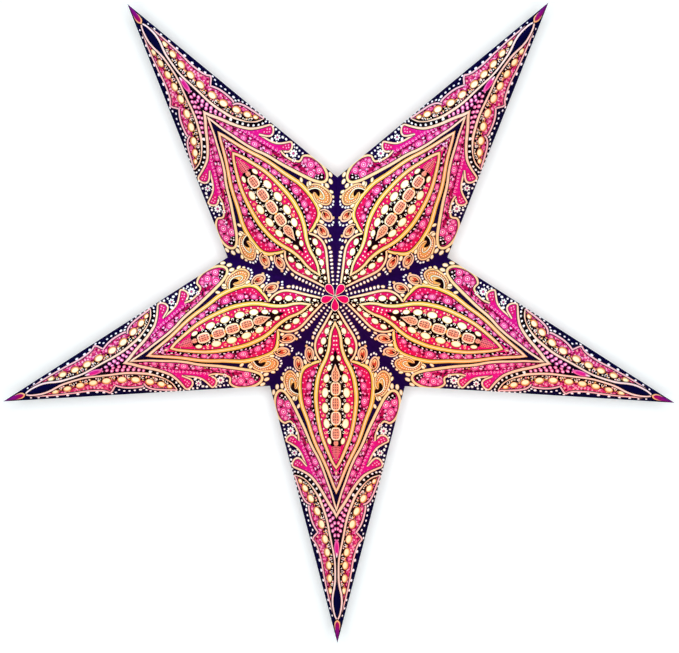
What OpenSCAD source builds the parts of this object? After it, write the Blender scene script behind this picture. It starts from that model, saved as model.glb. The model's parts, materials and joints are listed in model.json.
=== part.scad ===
// Folded paper star lantern with five hollow points.
// Each point is one sheet of paper folded into a slender four-sided spike, open towards the middle.
// Neighbouring points are glued together by flaps that are turned in along the valley folds.
// The star's middle is the origin, its front faces -Y, and it hangs with two points up (+Z).

/* [Star] */
// Distance from the star's middle to each tip
tip_radius = 315; // [220:1:420]
// Distance from the star's middle to each inner corner, between two points
corner_radius = 102.5; // [80:0.5:130]
// Height of the front and back poles over the star's middle plane
pole_height = 100; // [70:1:130]

/* [Paper] */
// Thickness of the printed paper
paper_t = 0.4; // [0.25:0.05:0.8]

/* [Glue flaps] */
// Width of the flaps that are turned in along the valley folds
flap_w = 12; // [6:1:18]
// Least bare length of each valley fold between its flap and the inner corner
flap_corner_gap = 26; // [24:1:40]
// Bare length of each valley fold between its flap and the pole
flap_pole_gap = 14; // [8:1:30]
// Width of the lap that closes each sheet inside its back ridge
lap_w = 10; // [5:1:14]
// Least bare length at both ends of that lap, measured along the point
lap_end_gap = 45; // [40:1:70]

/* [Cord hole] */
// Diameter of the hole in the top seam, for the lamp's cord
cord_hole_d = 10; // [6:0.5:12]
// Distance of the hole's middle behind the star's middle plane
cord_hole_back = 9; // [8:0.5:10]

/* [Hidden] */
NODES = ["top_left_point", "top_right_point", "right_point", "bottom_point", "left_point"];

point_pitch = 360 / len(NODES);
half_pitch = point_pitch / 2;

// A point's side folds, carried on to the star's middle, would pass this far from its axis there.
side_reach = corner_radius * sin(half_pitch) * tip_radius / (tip_radius - corner_radius * cos(half_pitch));
// All faces of the star are equally far from its middle, so moving them in is scaling about it.
face_reach = 1 / norm([1 / side_reach, 1 / pole_height, 1 / tip_radius]);

// The spike is drawn a little past the star's middle, and the wedge cuts it there.
spike_drop = 10;
// The valley fold runs from the inner corner to the pole.
valley = norm([corner_radius, pole_height]);
// The flaps start far enough from the inner corner to leave the cord hole's way in clear.
cord_clearance = 2;
cord_way = cord_hole_back + cord_hole_d / 2 + cord_clearance;
flap_start = max(flap_corner_gap, cord_way * valley / pole_height);
flap_end = valley - flap_pole_gap;
// Towards its tip each lap ends where the point is still wider than the lap.
lap_width_share = 1.15;
lap_tip_gap = max(lap_end_gap, lap_width_share * lap_w * tip_radius / side_reach);
cord_hole_h = 2 * corner_radius;

// A solid four-sided spike along +Z with all four faces moved in by the given distance
module spike(inset) {
    share = 1 - inset / face_reach;
    spread = share + spike_drop / tip_radius;
    x = side_reach * spread;
    y = pole_height * spread;
    polyhedron(
        points = [[x, 0, -spike_drop], [0, y, -spike_drop], [-x, 0, -spike_drop], [0, -y, -spike_drop],
                  [0, 0, tip_radius * share]],
        faces = [[0, 1, 2, 3], [1, 0, 4], [2, 1, 4], [3, 2, 4], [0, 3, 4]]
    );
}

// One point's share of the star, a wedge about the star's axis
module wedge() {
    top = tip_radius + spike_drop;
    side = top * tan(half_pitch);
    rotate([90, 0, 0])
        linear_extrude(height = 4 * pole_height, center = true)
            polygon([[0, 0], [side, top], [-side, top]]);
}

// Outline of the flap along the front valley fold, in the plane where two points meet:
// x is the distance from the star's axis, y the distance behind its middle plane.
// Its ends are cut straight towards the middle plane and straight away from the axis.
module flap_outline() {
    along = [-corner_radius, -pole_height] / valley;
    inward = [-pole_height, corner_radius] / valley;
    corner = [corner_radius, 0];
    corner_cut = flap_w * corner_radius / pole_height;
    pole_cut = flap_w * pole_height / corner_radius;
    polygon([
        corner + along * flap_start,
        corner + along * flap_end,
        corner + along * (flap_end - pole_cut) + inward * flap_w,
        corner + along * (flap_start + corner_cut) + inward * flap_w
    ]);
}

// The front and back flaps on the point's right side
module side_flaps() {
    rotate([0, half_pitch - 90, 0])
        linear_extrude(height = paper_t) {
            flap_outline();
            mirror([0, 1]) flap_outline();
        }
}

// The lap inside the back ridge, a second thickness of paper under the left back face
module ridge_lap() {
    intersection() {
        difference() {
            spike(0);
            spike(2 * paper_t);
        }
        translate([-lap_w, 0, lap_end_gap])
            cube([lap_w, pole_height, tip_radius - lap_end_gap - lap_tip_gap]);
    }
}

// One folded sheet, pointing up
module folded_sheet() {
    intersection() {
        wedge();
        difference() {
            spike(0);
            spike(paper_t);
        }
    }
    side_flaps();
    mirror([1, 0, 0]) side_flaps();
    ridge_lap();
}

// One folded sheet at its place, counted clockwise from the top seam as seen from the front
module placed_sheet(place) {
    rotate([0, half_pitch + place * point_pitch, 0]) folded_sheet();
}

// The hole for the cord, upright, just behind the inner corner at the top seam
module cord_hole() {
    translate([0, cord_hole_back, 0])
        cylinder(d = cord_hole_d, h = cord_hole_h, $fn = 64);
}

module top_left_point() {
    color("mediumvioletred")
        difference() {
            placed_sheet(4);
            cord_hole();
        }
}

module top_right_point() {
    color("mediumvioletred")
        difference() {
            placed_sheet(0);
            cord_hole();
        }
}

module right_point() {
    color("crimson") placed_sheet(1);
}

module bottom_point() {
    color("crimson") placed_sheet(2);
}

module left_point() {
    color("crimson") placed_sheet(3);
}

top_left_point();
top_right_point();
right_point();
bottom_point();
left_point();
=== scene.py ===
# %% [markdown]
# # A folded paper star lantern
#
# This lesson dresses a five-point paper star, of the kind that hangs in a window with a lamp inside.
# Each point is one printed sheet, folded into a slender spike. The shape is already settled by the
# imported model, so nearly all of the work here is the print: a lotus and paisley ornament in crimson,
# magenta, gold and cream on a navy ground.

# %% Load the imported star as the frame
import json
import math

import bmesh
import bpy
import numpy as np
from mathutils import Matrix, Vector
from mathutils.geometry import delaunay_2d_cdt


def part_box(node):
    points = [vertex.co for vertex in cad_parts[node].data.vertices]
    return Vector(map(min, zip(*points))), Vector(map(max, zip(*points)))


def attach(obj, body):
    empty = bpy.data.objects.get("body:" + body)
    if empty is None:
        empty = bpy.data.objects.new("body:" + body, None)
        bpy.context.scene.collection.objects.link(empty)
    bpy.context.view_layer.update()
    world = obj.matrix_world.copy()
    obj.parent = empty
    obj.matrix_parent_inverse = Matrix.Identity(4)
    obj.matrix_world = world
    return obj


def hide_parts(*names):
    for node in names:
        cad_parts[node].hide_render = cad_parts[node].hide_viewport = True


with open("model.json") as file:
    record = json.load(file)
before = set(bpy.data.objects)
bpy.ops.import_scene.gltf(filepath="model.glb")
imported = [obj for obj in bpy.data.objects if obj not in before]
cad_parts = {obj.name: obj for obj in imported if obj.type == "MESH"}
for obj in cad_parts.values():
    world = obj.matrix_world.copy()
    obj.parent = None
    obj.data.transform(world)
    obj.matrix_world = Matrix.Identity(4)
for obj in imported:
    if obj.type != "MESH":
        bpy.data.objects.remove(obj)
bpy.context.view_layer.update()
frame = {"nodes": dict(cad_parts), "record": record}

print("nodes:", sorted(frame["nodes"]))

# %% [markdown]
# ## The star's own measures
#
# The real star is five equal points around one middle. Its sizes could be typed in again here, but then
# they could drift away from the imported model. So they are read from the frame. The point that hangs
# straight down gives all of them: how far its tip is from the middle, how wide it is at the inner
# corners, and how far the poles stand out.

# %% Read the driving sizes from the frame
# Half the angle from one point to the next
HALF_PITCH = math.pi / 5
# Each point's turn from straight up, clockwise as seen from the front, counted in half pitches
POINT_TURNS = {
    "top_right_point": 1,
    "right_point": 3,
    "bottom_point": 5,
    "left_point": 7,
    "top_left_point": 9,
}
low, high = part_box("bottom_point")
TIP_RADIUS = -low[2]
POLE_HEIGHT = high[1]
CORNER_RADIUS = high[0] / math.sin(HALF_PITCH)

print(f"from the middle: tips {TIP_RADIUS * 1000:.1f} mm, inner corners {CORNER_RADIUS * 1000:.1f} mm")
print(f"poles {POLE_HEIGHT * 1000:.1f} mm in front of and behind the middle plane")

# %% [markdown]
# ## Drawing the print
#
# On the real star the same drawing is repeated on every face, mirrored about each ridge. So it is drawn
# once, on half a point. The drawing has two directions: *across* the point from its ridge, and *along*
# it from the pole. Both are in thousandths of the tip radius, so that the tip is at 1000 on the ridge.
#
# A drawing like this could be painted by a long chain of shader nodes, or by flat shapes stacked over
# each other. Here all shapes are cut into one flat mesh instead: each triangle then takes the ink of the
# topmost shape over it. The edges stay sharp at any zoom, and nothing flickers.

# %% Curves through a few points
TIP = 1000.0
UNIT = TIP_RADIUS / TIP
CORNER = (CORNER_RADIUS * math.sin(HALF_PITCH) / UNIT, CORNER_RADIUS * math.cos(HALF_PITCH) / UNIT)
STEP = 3.6


def smooth(points, closed=False):
    """A smooth curve through the given points, as a list of points about a step apart."""
    p = np.array(points, float)
    if closed:
        following = np.roll(p, -1, axis=0)
        slope = (following - np.roll(p, 1, axis=0)) / 2
        next_slope = np.roll(slope, -1, axis=0)
    else:
        slope = np.gradient(p, axis=0)
        following, next_slope = p[1:], slope[1:]
    out = []
    for i in range(len(following)):
        count = max(2, int(np.ceil(np.linalg.norm(following[i] - p[i]) / STEP)))
        t = (np.arange(count) / count)[:, None]
        # Weights of the two ends and of the two slopes on a cubic curve
        h00, h10 = 2 * t**3 - 3 * t**2 + 1, t**3 - 2 * t**2 + t
        h01, h11 = -2 * t**3 + 3 * t**2, t**3 - t**2
        out.append(h00 * p[i] + h10 * slope[i] + h01 * following[i] + h11 * next_slope[i])
    if not closed:
        out.append(p[-1:])
    return np.concatenate(out)


print("half a point's corner lies at", [round(v, 1) for v in CORNER])

# %% [markdown]
# ### From the front view to the flat face
#
# The ornament was measured in a front view, where the near pole looks larger than the far outline. Drawn
# straight on the faces, it would swell twice: once in the drawing and once more in the camera. The
# drawing could be measured again on unfolded paper, but one rule does the same: every point is drawn in
# towards the pole by the ratio of the two distances, and the camera brings the swelling back.

# %% Take the view's perspective out
# Distances in metres, from the camera that fits the outline
CAMERA_TO_MIDDLE = 1.26
CAMERA_TO_POLE = 1.16
POLE_NEARER = CAMERA_TO_POLE / CAMERA_TO_MIDDLE


def settle(points):
    """The points drawn in towards the pole; far is 0 at the pole and 1 on the star's outline."""
    p = np.asarray(points, float)
    beside = np.abs(p[:, 0]) / CORNER[0]
    far = beside + (p[:, 1] - CORNER[1] * beside) / TIP
    return p * (POLE_NEARER / (1 - far + far * POLE_NEARER))[:, None]


print(f"close to the pole the drawing shrinks to {POLE_NEARER:.3f} of its size")

# %% [markdown]
# ### Tools for painting
#
# The printer's ornament has hundreds of marks, but only three kinds: a field inside a smooth curve, a
# drawn line that swells and thins, and an oval or a dot. Each could be a Blender curve object, but a
# plain list of outlines is easier to cut later. A mark that is painted later lies over the earlier ones.

# %% Lay down one outline
shapes = []


def anticlockwise(outline):
    """The outline in the turning direction that the cutter reads as filled inside."""
    x, y = np.asarray(outline, float).T
    area = np.sum(x * np.roll(y, -1) - y * np.roll(x, -1))
    return np.stack([x, y], 1)[:: 1 if area > 0 else -1]


def paint(outline, ink):
    """Lays one closed outline of ink over what is painted so far."""
    shapes.append((anticlockwise(settle(outline)), ink))


paint([(0, 0), CORNER, (0, TIP)], "navy")
print("the navy ground is painted, shapes so far:", len(shapes))

# %% Fields of ink
def blob(points, ink):
    """A field of ink inside a smooth closed curve."""
    paint(smooth(points, closed=True), ink)


def on_ridge(points, ink):
    """A field that the ridge cuts in half: its right half runs from one end on the ridge to the other."""
    half = smooth(points)
    mirrored = half[::-1] * (-1, 1)
    paint(np.concatenate([half, mirrored[1:-1]]), ink)


print("a field with four corners, 20 apart, gets",
      len(smooth([(0, 0), (20, 0), (20, 20), (0, 20)], closed=True)), "points")

# %% Drawn lines
CORE_SHARE = 0.26
TINY = 1e-9


def line(points, widths, ink):
    """A drawn line whose width follows the given widths, spread evenly over its points."""
    path = smooth(points)
    ahead = np.gradient(path, axis=0)
    ahead /= np.linalg.norm(ahead, axis=1)[:, None] + TINY
    side = np.stack([-ahead[:, 1], ahead[:, 0]], 1)
    run = np.linspace(0, 1, len(path))
    half = np.interp(run, np.linspace(0, 1, len(widths)), widths)[:, None] / 2
    paint(np.concatenate([path + side * half, (path - side * half)[::-1]]), ink)


def edged(points, widths, ink, edge=2.0, core=None):
    """A drawn line with a dark contour on both sides, and a lighter core where one is named."""
    line(points, [w + 2 * edge for w in widths], "black")
    line(points, widths, ink)
    if core:
        line(points, [w * CORE_SHARE for w in widths], core)


print(f"a line's light core takes {CORE_SHARE:.0%} of its width")

# %% Ovals and dots
def oval(centre, size, ink, lean=0.0, corners=12):
    """An oval of the given half width and half length, leaning by an angle in degrees."""
    turn = np.linspace(0, 2 * np.pi, corners, endpoint=False)
    x, y = size[0] * np.cos(turn), size[1] * np.sin(turn)
    c, s = math.cos(math.radians(lean)), math.sin(math.radians(lean))
    paint(np.stack([centre[0] + c * x + s * y, centre[1] - s * x + c * y], 1), ink)


def dots(places, ink, corners=8):
    """Round dots, each given as (across, along, radius)."""
    for across, along, radius in places:
        oval((across, along), (radius, radius), ink, corners=corners)


print(f"a dot with a radius of 2 is {4 * UNIT * 1000:.2f} mm across on the paper")

# %% [markdown]
# ### Guide lines
#
# A few long lines carry the whole ornament: the edge of the lotus petal on the ridge, the wider petal
# behind it, the leaf beside that, the two sides of the paisley that runs to the tip, and the tulip at
# the pole. They are written once here, because fields and lines both follow them. Each has just the
# points that its bends need, and the smooth curve does the rest.

# %% Edges of the two petals
LOTUS = [
    (-7, 62), (0, 75), (5, 86), (11, 100), (15.5, 120), (17, 140), (21.5, 160), (28.5, 180), (38.5, 200),
    (46.5, 220), (52, 240), (55, 260), (57, 280), (57, 300), (55.5, 320), (53, 340), (50, 360), (46, 380),
    (41, 400), (34, 420), (26, 440), (18, 459), (11, 474), (4.5, 485), (-3, 495),
]
WIDE_PETAL = [
    (43, 186), (58, 190.5), (72, 196.5), (86, 204), (96, 214), (102, 228), (104.5, 245), (105, 262),
    (104, 280), (101.5, 300), (97.5, 318), (92, 333), (87.5, 345), (81.5, 361), (75.5, 380), (69, 400),
    (61.5, 420), (52.5, 440), (42.5, 460), (33, 480), (24.5, 500), (15.5, 523), (7, 545), (0, 560),
    (-5, 571),
]
print("points on the petals' edges:", len(LOTUS), "and", len(WIDE_PETAL))

# %% Edges of the leaf
LEAF_INNER = [
    (-5, 624), (0, 612), (4.5, 598), (9.5, 580), (15.5, 560), (23, 540), (30, 520), (37, 500), (45, 480),
    (54.5, 460), (66, 440), (75.5, 420), (83.5, 400), (92, 380), (101.5, 360), (111, 340),
]
LEAF_END = [
    (111, 340), (121, 320), (131, 301), (140, 288), (148, 279), (157, 275), (166, 277.5), (173, 287),
    (177, 302), (177, 320), (173, 338), (167, 352), (158, 363), (148, 368), (140, 364), (132, 363),
    (124, 371), (117, 381), (112, 393), (109, 404), (108, 417),
]
LEAF_LOBE_2 = [(108, 417), (116, 408), (125, 402), (134, 403), (142, 410), (145, 418), (142, 422)]
LEAF_SIDE_2 = [(142, 422), (128, 429), (114, 438), (105, 449), (98, 462), (92, 476), (86, 490)]
LEAF_LOBE_1 = [(86, 490), (93, 482), (101, 473), (110, 467.5), (119, 470), (126, 479), (128, 489),
               (124, 494)]
LEAF_OUTER = [
    (124, 494), (111, 499), (97, 505), (84, 512), (72, 521), (56, 540), (42.5, 560), (31, 580), (20, 598),
    (8, 616), (0, 630), (-5, 640),
]
LEAF_PARTS = (LEAF_INNER, LEAF_END, LEAF_LOBE_2, LEAF_SIDE_2, LEAF_LOBE_1, LEAF_OUTER)
print("stretches of the leaf's edge:", len(LEAF_PARTS))

# %% Edges of the paisley and the tulip
PAISLEY_INNER = [
    (-9, 944), (0, 934), (7, 920), (11.5, 900), (13.5, 880), (12, 860), (8, 840), (5.4, 822), (4.9, 805),
    (4.9, 785), (5.8, 762), (8.8, 740), (13, 720), (17, 700), (21, 680), (24.5, 660), (29, 640), (35, 620),
    (42.5, 600), (50.5, 580), (61.5, 560), (75, 541), (85, 531), (99, 522), (117, 516.5),
]
PAISLEY_LOBES = [
    [(5, 927), (13, 910), (18, 893), (22.5, 877), (27, 858), (31.5, 838), (36, 815), (40, 795), (43, 775),
     (46.5, 757), (51, 740), (57, 722), (64, 709), (70, 702), (67, 694), (60, 686), (55, 679)],
    [(55, 679), (60, 672), (67, 660), (73, 645), (77.5, 628), (80.5, 612), (80, 604), (75, 600)],
    [(75, 600), (84, 597), (93, 588), (100.5, 575), (106.5, 560), (112, 545), (117, 530), (121, 519),
     (117, 516.5)],
]
TULIP = [
    (3, 31), (9, 41), (14.5, 51), (20, 61), (26, 72), (33, 84), (40, 96), (47, 108), (53.5, 121),
    (57.5, 134), (58.5, 146), (56.5, 160), (51, 173), (42, 185),
]
print("lobes on the paisley's outer side:", len(PAISLEY_LOBES))

# %% [markdown]
# ### The paisley that runs to the tip
#
# Each half carries one long leaf-shaped paisley with a row of big pearls. Its outer edge has three
# lobes, and pale dots stand along it on the navy. The small marks beside each pearl could be placed one
# by one. Here they are set out from the row itself, a little to its side, so they follow its bend.

# %% Set out the row of pearls
# Each pearl as (across, along, half width, half length)
PEARL_ROW = [
    (19.5, 849, 4.2, 6.6), (21, 813, 5.4, 8.6), (23, 775, 5.8, 9.2), (27.5, 737, 6.2, 9.4),
    (33.5, 699, 6.6, 10), (43.5, 656, 6.8, 10.2), (56, 619, 6.8, 10), (74.5, 583, 6.6, 9.4),
    (91, 554, 6, 8.4), (105, 534, 3.8, 5),
]
pearls = np.array([row[:2] for row in PEARL_ROW])
ahead = np.gradient(pearls, axis=0)
ahead /= np.linalg.norm(ahead, axis=1)[:, None]
outward = np.stack([-ahead[:, 1], ahead[:, 0]], 1)
between = (pearls[1:] + pearls[:-1]) / 2
aside = (outward[1:] + outward[:-1]) / 2
print("pearls in the row:", len(pearls))

# %% Paint the paisley's fields
paisley_edge = np.concatenate([smooth(lobe) for lobe in PAISLEY_LOBES])
paint(np.concatenate([paisley_edge, smooth(PAISLEY_INNER)[::-1]]), "dark_lace")
pearl_line = smooth([(13, 905), (16.5, 878)] + pearls.tolist() + [(117, 518)])
paint(np.concatenate([paisley_edge, pearl_line[::-1]]), "ruby")
print("paisley fields painted, shapes so far:", len(shapes))

# %% Fill the paisley beside its pearls
FIRST_LARGE, LAST = 3, -1


def curl(across, along, radius, ink, lean=0.0, width=2.0):
    """A small open curl, like a leaning letter C."""
    turn = np.radians(np.linspace(40, 320, 6) + lean)
    line(np.stack([across + radius * np.cos(turn), along + radius * np.sin(turn)], 1), [width], ink)


for k, (spot, side) in enumerate(zip(between, aside)):
    oval(spot + side * 3, (3, 6.5), "maroon", 10, 8)
    curl(*(spot + side * 8.5), 3.4, "rose", 60 + 40 * k)
    dots([(*(spot + side * 14.5), 2), (*(spot + side * 11 + ahead[k] * 8), 1.8)], "pink")
for (across, along, half_width, _), side in zip(PEARL_ROW[FIRST_LARGE:LAST], outward[FIRST_LARGE:LAST]):
    spot = np.array((across, along))
    dots([(*(spot + side * (half_width + 9)), 2.2)], "pink")
    dots([(*(spot + side * (half_width + 15)), 2)], "rose")
print("paisley filled, shapes so far:", len(shapes))

# %% Set the pearls
# Each layer as (shift outward, added half width, added half length, ink)
PEARL_LAYERS = (
    (0.8, 3.4, 4.4, "black"), (0.8, 2.4, 3.2, "orange"), (0, 0.9, 1.5, "gold"), (-0.5, -0.4, 0.2, "pearl"),
)
for k, (across, along, half_width, half_length) in enumerate(PEARL_ROW):
    lean = math.degrees(math.atan2(ahead[k, 0], ahead[k, 1])) + 180
    for shift, wider, longer, ink in PEARL_LAYERS:
        spot = np.array((across, along)) + outward[k] * shift
        oval(spot, (half_width + wider, half_length + longer), ink, lean, 14)
for k, (spot, side) in enumerate(zip(between, aside)):
    reach = np.interp(k, [0, 4, 8], [8, 10.5, 12.5])
    curl(*(spot - side * reach * 0.86), 3.6, "cream", 150 + 25 * k, 1.9)
    dots([(*(spot - side * 2), 2.2)], "orange")
    inner = spot - side * reach * 1.1
    dots([(*(inner + ahead[k] * 10), 1.9), (*(inner - ahead[k] * 9), 1.9)], "cream")
print("pearls set, shapes so far:", len(shapes))

# %% Draw the paisley's contour and the dots along it
LOBE_WIDTHS = ([3, 3.8, 4.2, 4.4], [4.4, 4.6, 4.6], [4.4, 4.6, 4.2])
EDGE_LEAN = math.degrees(math.atan2(-CORNER[0], TIP - CORNER[1]))
EDGE_DOTS = [
    (14.5, 921, 2.4), (21, 900, 2.8), (26.5, 876, 3), (34, 848, 3.4), (40, 819, 3.6), (45.5, 790, 3.8),
    (50.5, 761, 3.9), (56.5, 736, 3.9), (64, 718, 3.5), (74.5, 697, 3), (74, 685, 2.8), (70, 674, 2.8),
    (77.5, 661, 2.8), (82, 647, 2.8), (85, 632, 2.8), (88, 616, 3.8), (87, 605, 3), (94, 600, 2.8),
    (100.5, 590, 2.8), (106.5, 578, 2.8), (111.5, 564, 2.8), (116, 549, 2.8), (120, 535, 2.8),
    (124.5, 521, 3),
]
for lobe, widths in zip(PAISLEY_LOBES, LOBE_WIDTHS):
    edged(lobe, widths, "blush_line", 2.3)
edged(PAISLEY_INNER, [3.6, 4.8, 5.4, 4.8, 5, 5.8, 6.8, 7, 6], "peach", 2.4, "cream")
for across, along, radius in EDGE_DOTS:
    oval((across, along), (radius * 0.78, radius * 1.25), "white", EDGE_LEAN, 8)
print("paisley edged, shapes so far:", len(shapes))

# %% [markdown]
# ### Tip, bud and seeds on the ridge
#
# The tip ends in a violet drop with an orange rim. Further in, the two paisleys leave a gap on the ridge
# with a pink bud and a patch of seeds, and a row of white drops runs on from there to the paisley's end.
# All of these straddle the ridge or repeat on its other side, so half of each is enough.

# %% Paint the tip's drop and the bud
on_ridge([(0, 929), (8, 937), (9.5, 950), (7, 968), (2.5, 988), (0, 1000)], "black")
on_ridge([(0, 932), (7, 940), (8, 951), (5.4, 967), (1.6, 984), (0, 990)], "orange")
on_ridge([(0, 938), (4.6, 943), (6.2, 954), (5.4, 968), (2.6, 986), (0, 998)], "violet")

blob([(-3, 762), (3, 752), (7, 724), (11, 700), (15, 680), (18, 660), (22, 641), (27, 623), (34, 604),
      (42, 587), (35, 583), (24, 604), (11, 624), (-3, 648)], "black")
on_ridge([(0, 752), (3, 745), (6.2, 733), (7, 720), (5, 706), (0, 698)], "rose")
on_ridge([(0, 750), (1.8, 743), (3.8, 733), (4.2, 722), (2.6, 712), (0, 708)], "magenta")
on_ridge([(0, 752), (1.6, 749), (1.6, 741), (0, 737)], "blush")
print("tip and bud painted, shapes so far:", len(shapes))

# %% Sow the seeds and set the white drops
# Seeds and drops as (across, along, half width, half length, lean)
SEEDS = [
    (5, 687, 4.2, 6, 15), (10.5, 674, 4.8, 6, 20), (3.4, 668, 3.4, 5.4, 0), (13, 659, 5.6, 6.4, 30),
    (5.2, 651, 4.4, 5.6, 0), (17.5, 644, 5.2, 6.4, 30), (10, 637, 4.6, 5.6, 20), (21, 629, 5.2, 6.4, 35),
    (14.5, 621, 4.4, 5.2, 30), (26, 614, 5, 6.2, 35), (20.5, 607, 3.8, 4.8, 35), (31.5, 600, 4.8, 6, 40),
    (37.5, 588, 4.2, 5.2, 40), (4, 700, 2, 2.4, 0),
]
WHITE_DROPS = [
    (46.5, 571, 4.8, 6.8, 40), (57, 553.5, 3.8, 5, 40), (66.3, 541, 3.8, 5, 45),
    (76.5, 528.6, 3.7, 4.6, 50), (87.5, 519, 3.5, 4.4, 55), (99.5, 511.8, 3.4, 4.2, 65),
    (111, 508.5, 3.3, 4, 80), (121, 507.5, 2.9, 3.8, 80),
]
DROP_SHARE = 0.86
for across, along, half_width, half_length, lean in SEEDS:
    oval((across, along), (half_width, half_length), "rose", lean, 10)
    oval((across + 0.5, along + 0.8), (half_width * 0.62, half_length * 0.66), "pink", lean, 9)
    oval((across + 0.8, along + 1.4), (half_width * 0.34, half_length * 0.34), "blush", lean, 6)
line([(38, 584), (49, 566), (60, 550), (72, 536), (86, 524), (101, 515.5), (124, 511)],
     [8, 11, 12, 12, 11, 10, 8], "black")
for across, along, half_width, half_length, lean in WHITE_DROPS:
    oval((across, along), (half_width * DROP_SHARE, half_length * DROP_SHARE), "white", lean, 10)
print("seeds:", len(SEEDS), "white drops:", len(WHITE_DROPS), "shapes so far:", len(shapes))

# %% [markdown]
# ### The curled leaf
#
# A broad magenta leaf runs from the ridge down along the wide petal and ends in a round curl close to
# the inner corner. Pink rings fill it, and fine dark filling follows its inner side. The rings could be
# drawn as lines, but ovals of shrinking size, one on top of the other, leave rings with far less work.

# %% Paint the leaf's fields
paint(np.concatenate([smooth(part) for part in LEAF_PARTS]), "magenta")
line([(10, 606), (20, 584), (30, 560), (40, 536), (48, 514), (56, 492), (66, 470), (77, 448), (86, 427),
      (95, 406), (104, 385), (114, 364), (125, 343), (135, 322)],
     [7, 12, 14, 16, 16, 15, 13, 10], "pink_lace")
line([(9, 598), (17, 578), (25, 558), (33, 538), (41, 518), (48, 498), (56, 478), (67, 457), (78, 437),
      (86.5, 418), (95.5, 399), (105, 379), (115, 359), (125, 339), (136, 317)],
     [2, 3, 3.5, 4, 4, 4, 3.5, 3], "dark_lace")
print("leaf fields painted, shapes so far:", len(shapes))

# %% Set the leaf's rings
RING_LAYERS = (
    (1.32, "maroon"), (1.22, "rose"), (1.02, "magenta"), (0.74, "pink"), (0.5, "magenta"), (0.25, "blush"),
)
LEAF_LEAN = -24


def ring(across, along, half_width, half_length, lean=0.0):
    """Pink and magenta rings around a pale heart."""
    for share, ink in RING_LAYERS:
        corners = 14 if share > 0.6 else 9
        oval((across, along), (half_width * share, half_length * share), ink, lean, corners)


for row in ((19, 575, 4, 5.5), (27.5, 553, 5, 7), (36.5, 531, 5.4, 7), (46, 509, 6.4, 8.6),
            (61, 476, 7.8, 10.4), (76.5, 435, 7.8, 10.4), (92, 393, 7, 9.4), (105, 370, 5, 6.6),
            (115.5, 349, 6.4, 8.4), (127, 334, 4.6, 6)):
    ring(*row, LEAF_LEAN)
blob([(120, 346), (130, 322), (140, 304), (150, 294), (160, 292), (168, 300), (171, 320), (166, 340),
      (156, 355), (146, 360), (134, 357), (124, 361)], "pink_lace")
for across, along, radius in ((138, 315, 10), (152.5, 336, 9.6), (162.5, 309, 8.8), (146, 354, 5.6),
                              (166, 330, 4.8)):
    ring(across, along, radius, radius * 1.08, 20)
print("leaf rings set, shapes so far:", len(shapes))

# %% Scatter the leaf's small marks
LEAF_MIDDLE = [(30, 572), (41, 548), (52, 524), (66, 494), (76, 468), (88, 440), (97, 418), (107, 394)]


def along_curve(points, spacing, start=0.0):
    """Places an even spacing apart along a smooth curve."""
    path = smooth(points)
    run = np.concatenate([[0], np.cumsum(np.linalg.norm(np.diff(path, axis=0), axis=1))])
    at = np.arange(start, run[-1], spacing)
    return np.stack([np.interp(at, run, path[:, 0]), np.interp(at, run, path[:, 1])], 1)


dots([(52.5, 493, 2.6), (68, 456, 2.8), (84, 414, 2.8), (90, 405, 2), (99, 381, 2.2), (134, 352, 2.4),
      (141, 340, 2.2), (150, 319, 2.4), (156, 350, 2.2), (168, 320, 1.8), (147, 304, 2)], "pink")
dots([(88, 500, 1.8), (78, 505, 1.8), (68, 514, 1.8), (75, 490, 1.6), (82, 474, 1.8), (90, 456, 1.8),
      (97, 440, 1.8), (104, 429, 1.8), (103, 414, 1.6), (57, 528, 1.8), (48, 541, 1.6), (112, 396, 1.6),
      (120, 383, 1.6)], "rose")
for k, (across, along) in enumerate(along_curve(LEAF_MIDDLE, 10, 4)):
    oval((across, along), (2, 4.2), "maroon", LEAF_LEAN + 30 * (k % 2), 8)
    curl(across + 4, along + 5, 2.6, "pink", 70 * k, 1.6)
blob([(138, 300), (147, 304), (154, 299), (161, 300), (167, 291), (160, 282), (152, 281),
      (144, 288)], "black")
dots([(147, 293.5, 2.6), (157, 289.5, 2.8), (152, 299, 2), (143, 299, 1.8), (162, 296, 1.8)], "blush")
print("leaf filled, shapes so far:", len(shapes))

# %% Draw the leaf's lobes and contour
blob([(94, 490), (103, 480), (112, 474.5), (121, 479), (123, 488), (110, 494)], "crimson")
blob([(112, 427), (121, 411), (131, 407.5), (139, 414), (137, 421), (126, 427)], "crimson")
dots([(101, 487, 2), (107, 482, 2), (113, 479, 2), (118, 484, 2.2), (112, 488, 1.8), (119, 421, 2),
      (125, 414, 2), (131, 411.5, 2), (134, 417, 2), (127, 421, 1.8)], "pink")
edged(LEAF_OUTER, [5, 6.2, 7, 7.6, 8, 7], "peach", 2.3, "light_gold")
for part in (LEAF_LOBE_2, LEAF_SIDE_2, LEAF_LOBE_1):
    edged(part, [4.6, 5.2, 4.6], "peach", 1.6, "cream")
edged(LEAF_END, [8, 7.6, 7, 6.4, 5.6, 5, 4.8], "peach", 2.3, "light_gold")
edged(LEAF_INNER, [4.4, 5.4, 6.4, 7.2, 8], "peach", 2.4, "light_gold")
print("leaf edged, shapes so far:", len(shapes))

# %% [markdown]
# ### Rosettes between the lobes
#
# The leaf's outer side has two small curled lobes, with pale rosettes on the navy between them. Each could
# be drawn petal by petal, but one petal, set around the heart by a loop, keeps them even.

# %% Set the rosettes and white marks
def rosette(across, along, radius, petals=7):
    """Pale petals in a ring around a small heart, drawn on the dark ground."""
    for k in range(petals):
        turn = 2 * math.pi * k / petals
        spot = (across + radius * 0.7 * math.cos(turn), along + radius * 0.7 * math.sin(turn))
        oval(spot, (radius * 0.27, radius * 0.38), "white", 90 - math.degrees(turn), 8)
    oval((across, along), (radius * 0.26, radius * 0.26), "rose", corners=7)


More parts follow.
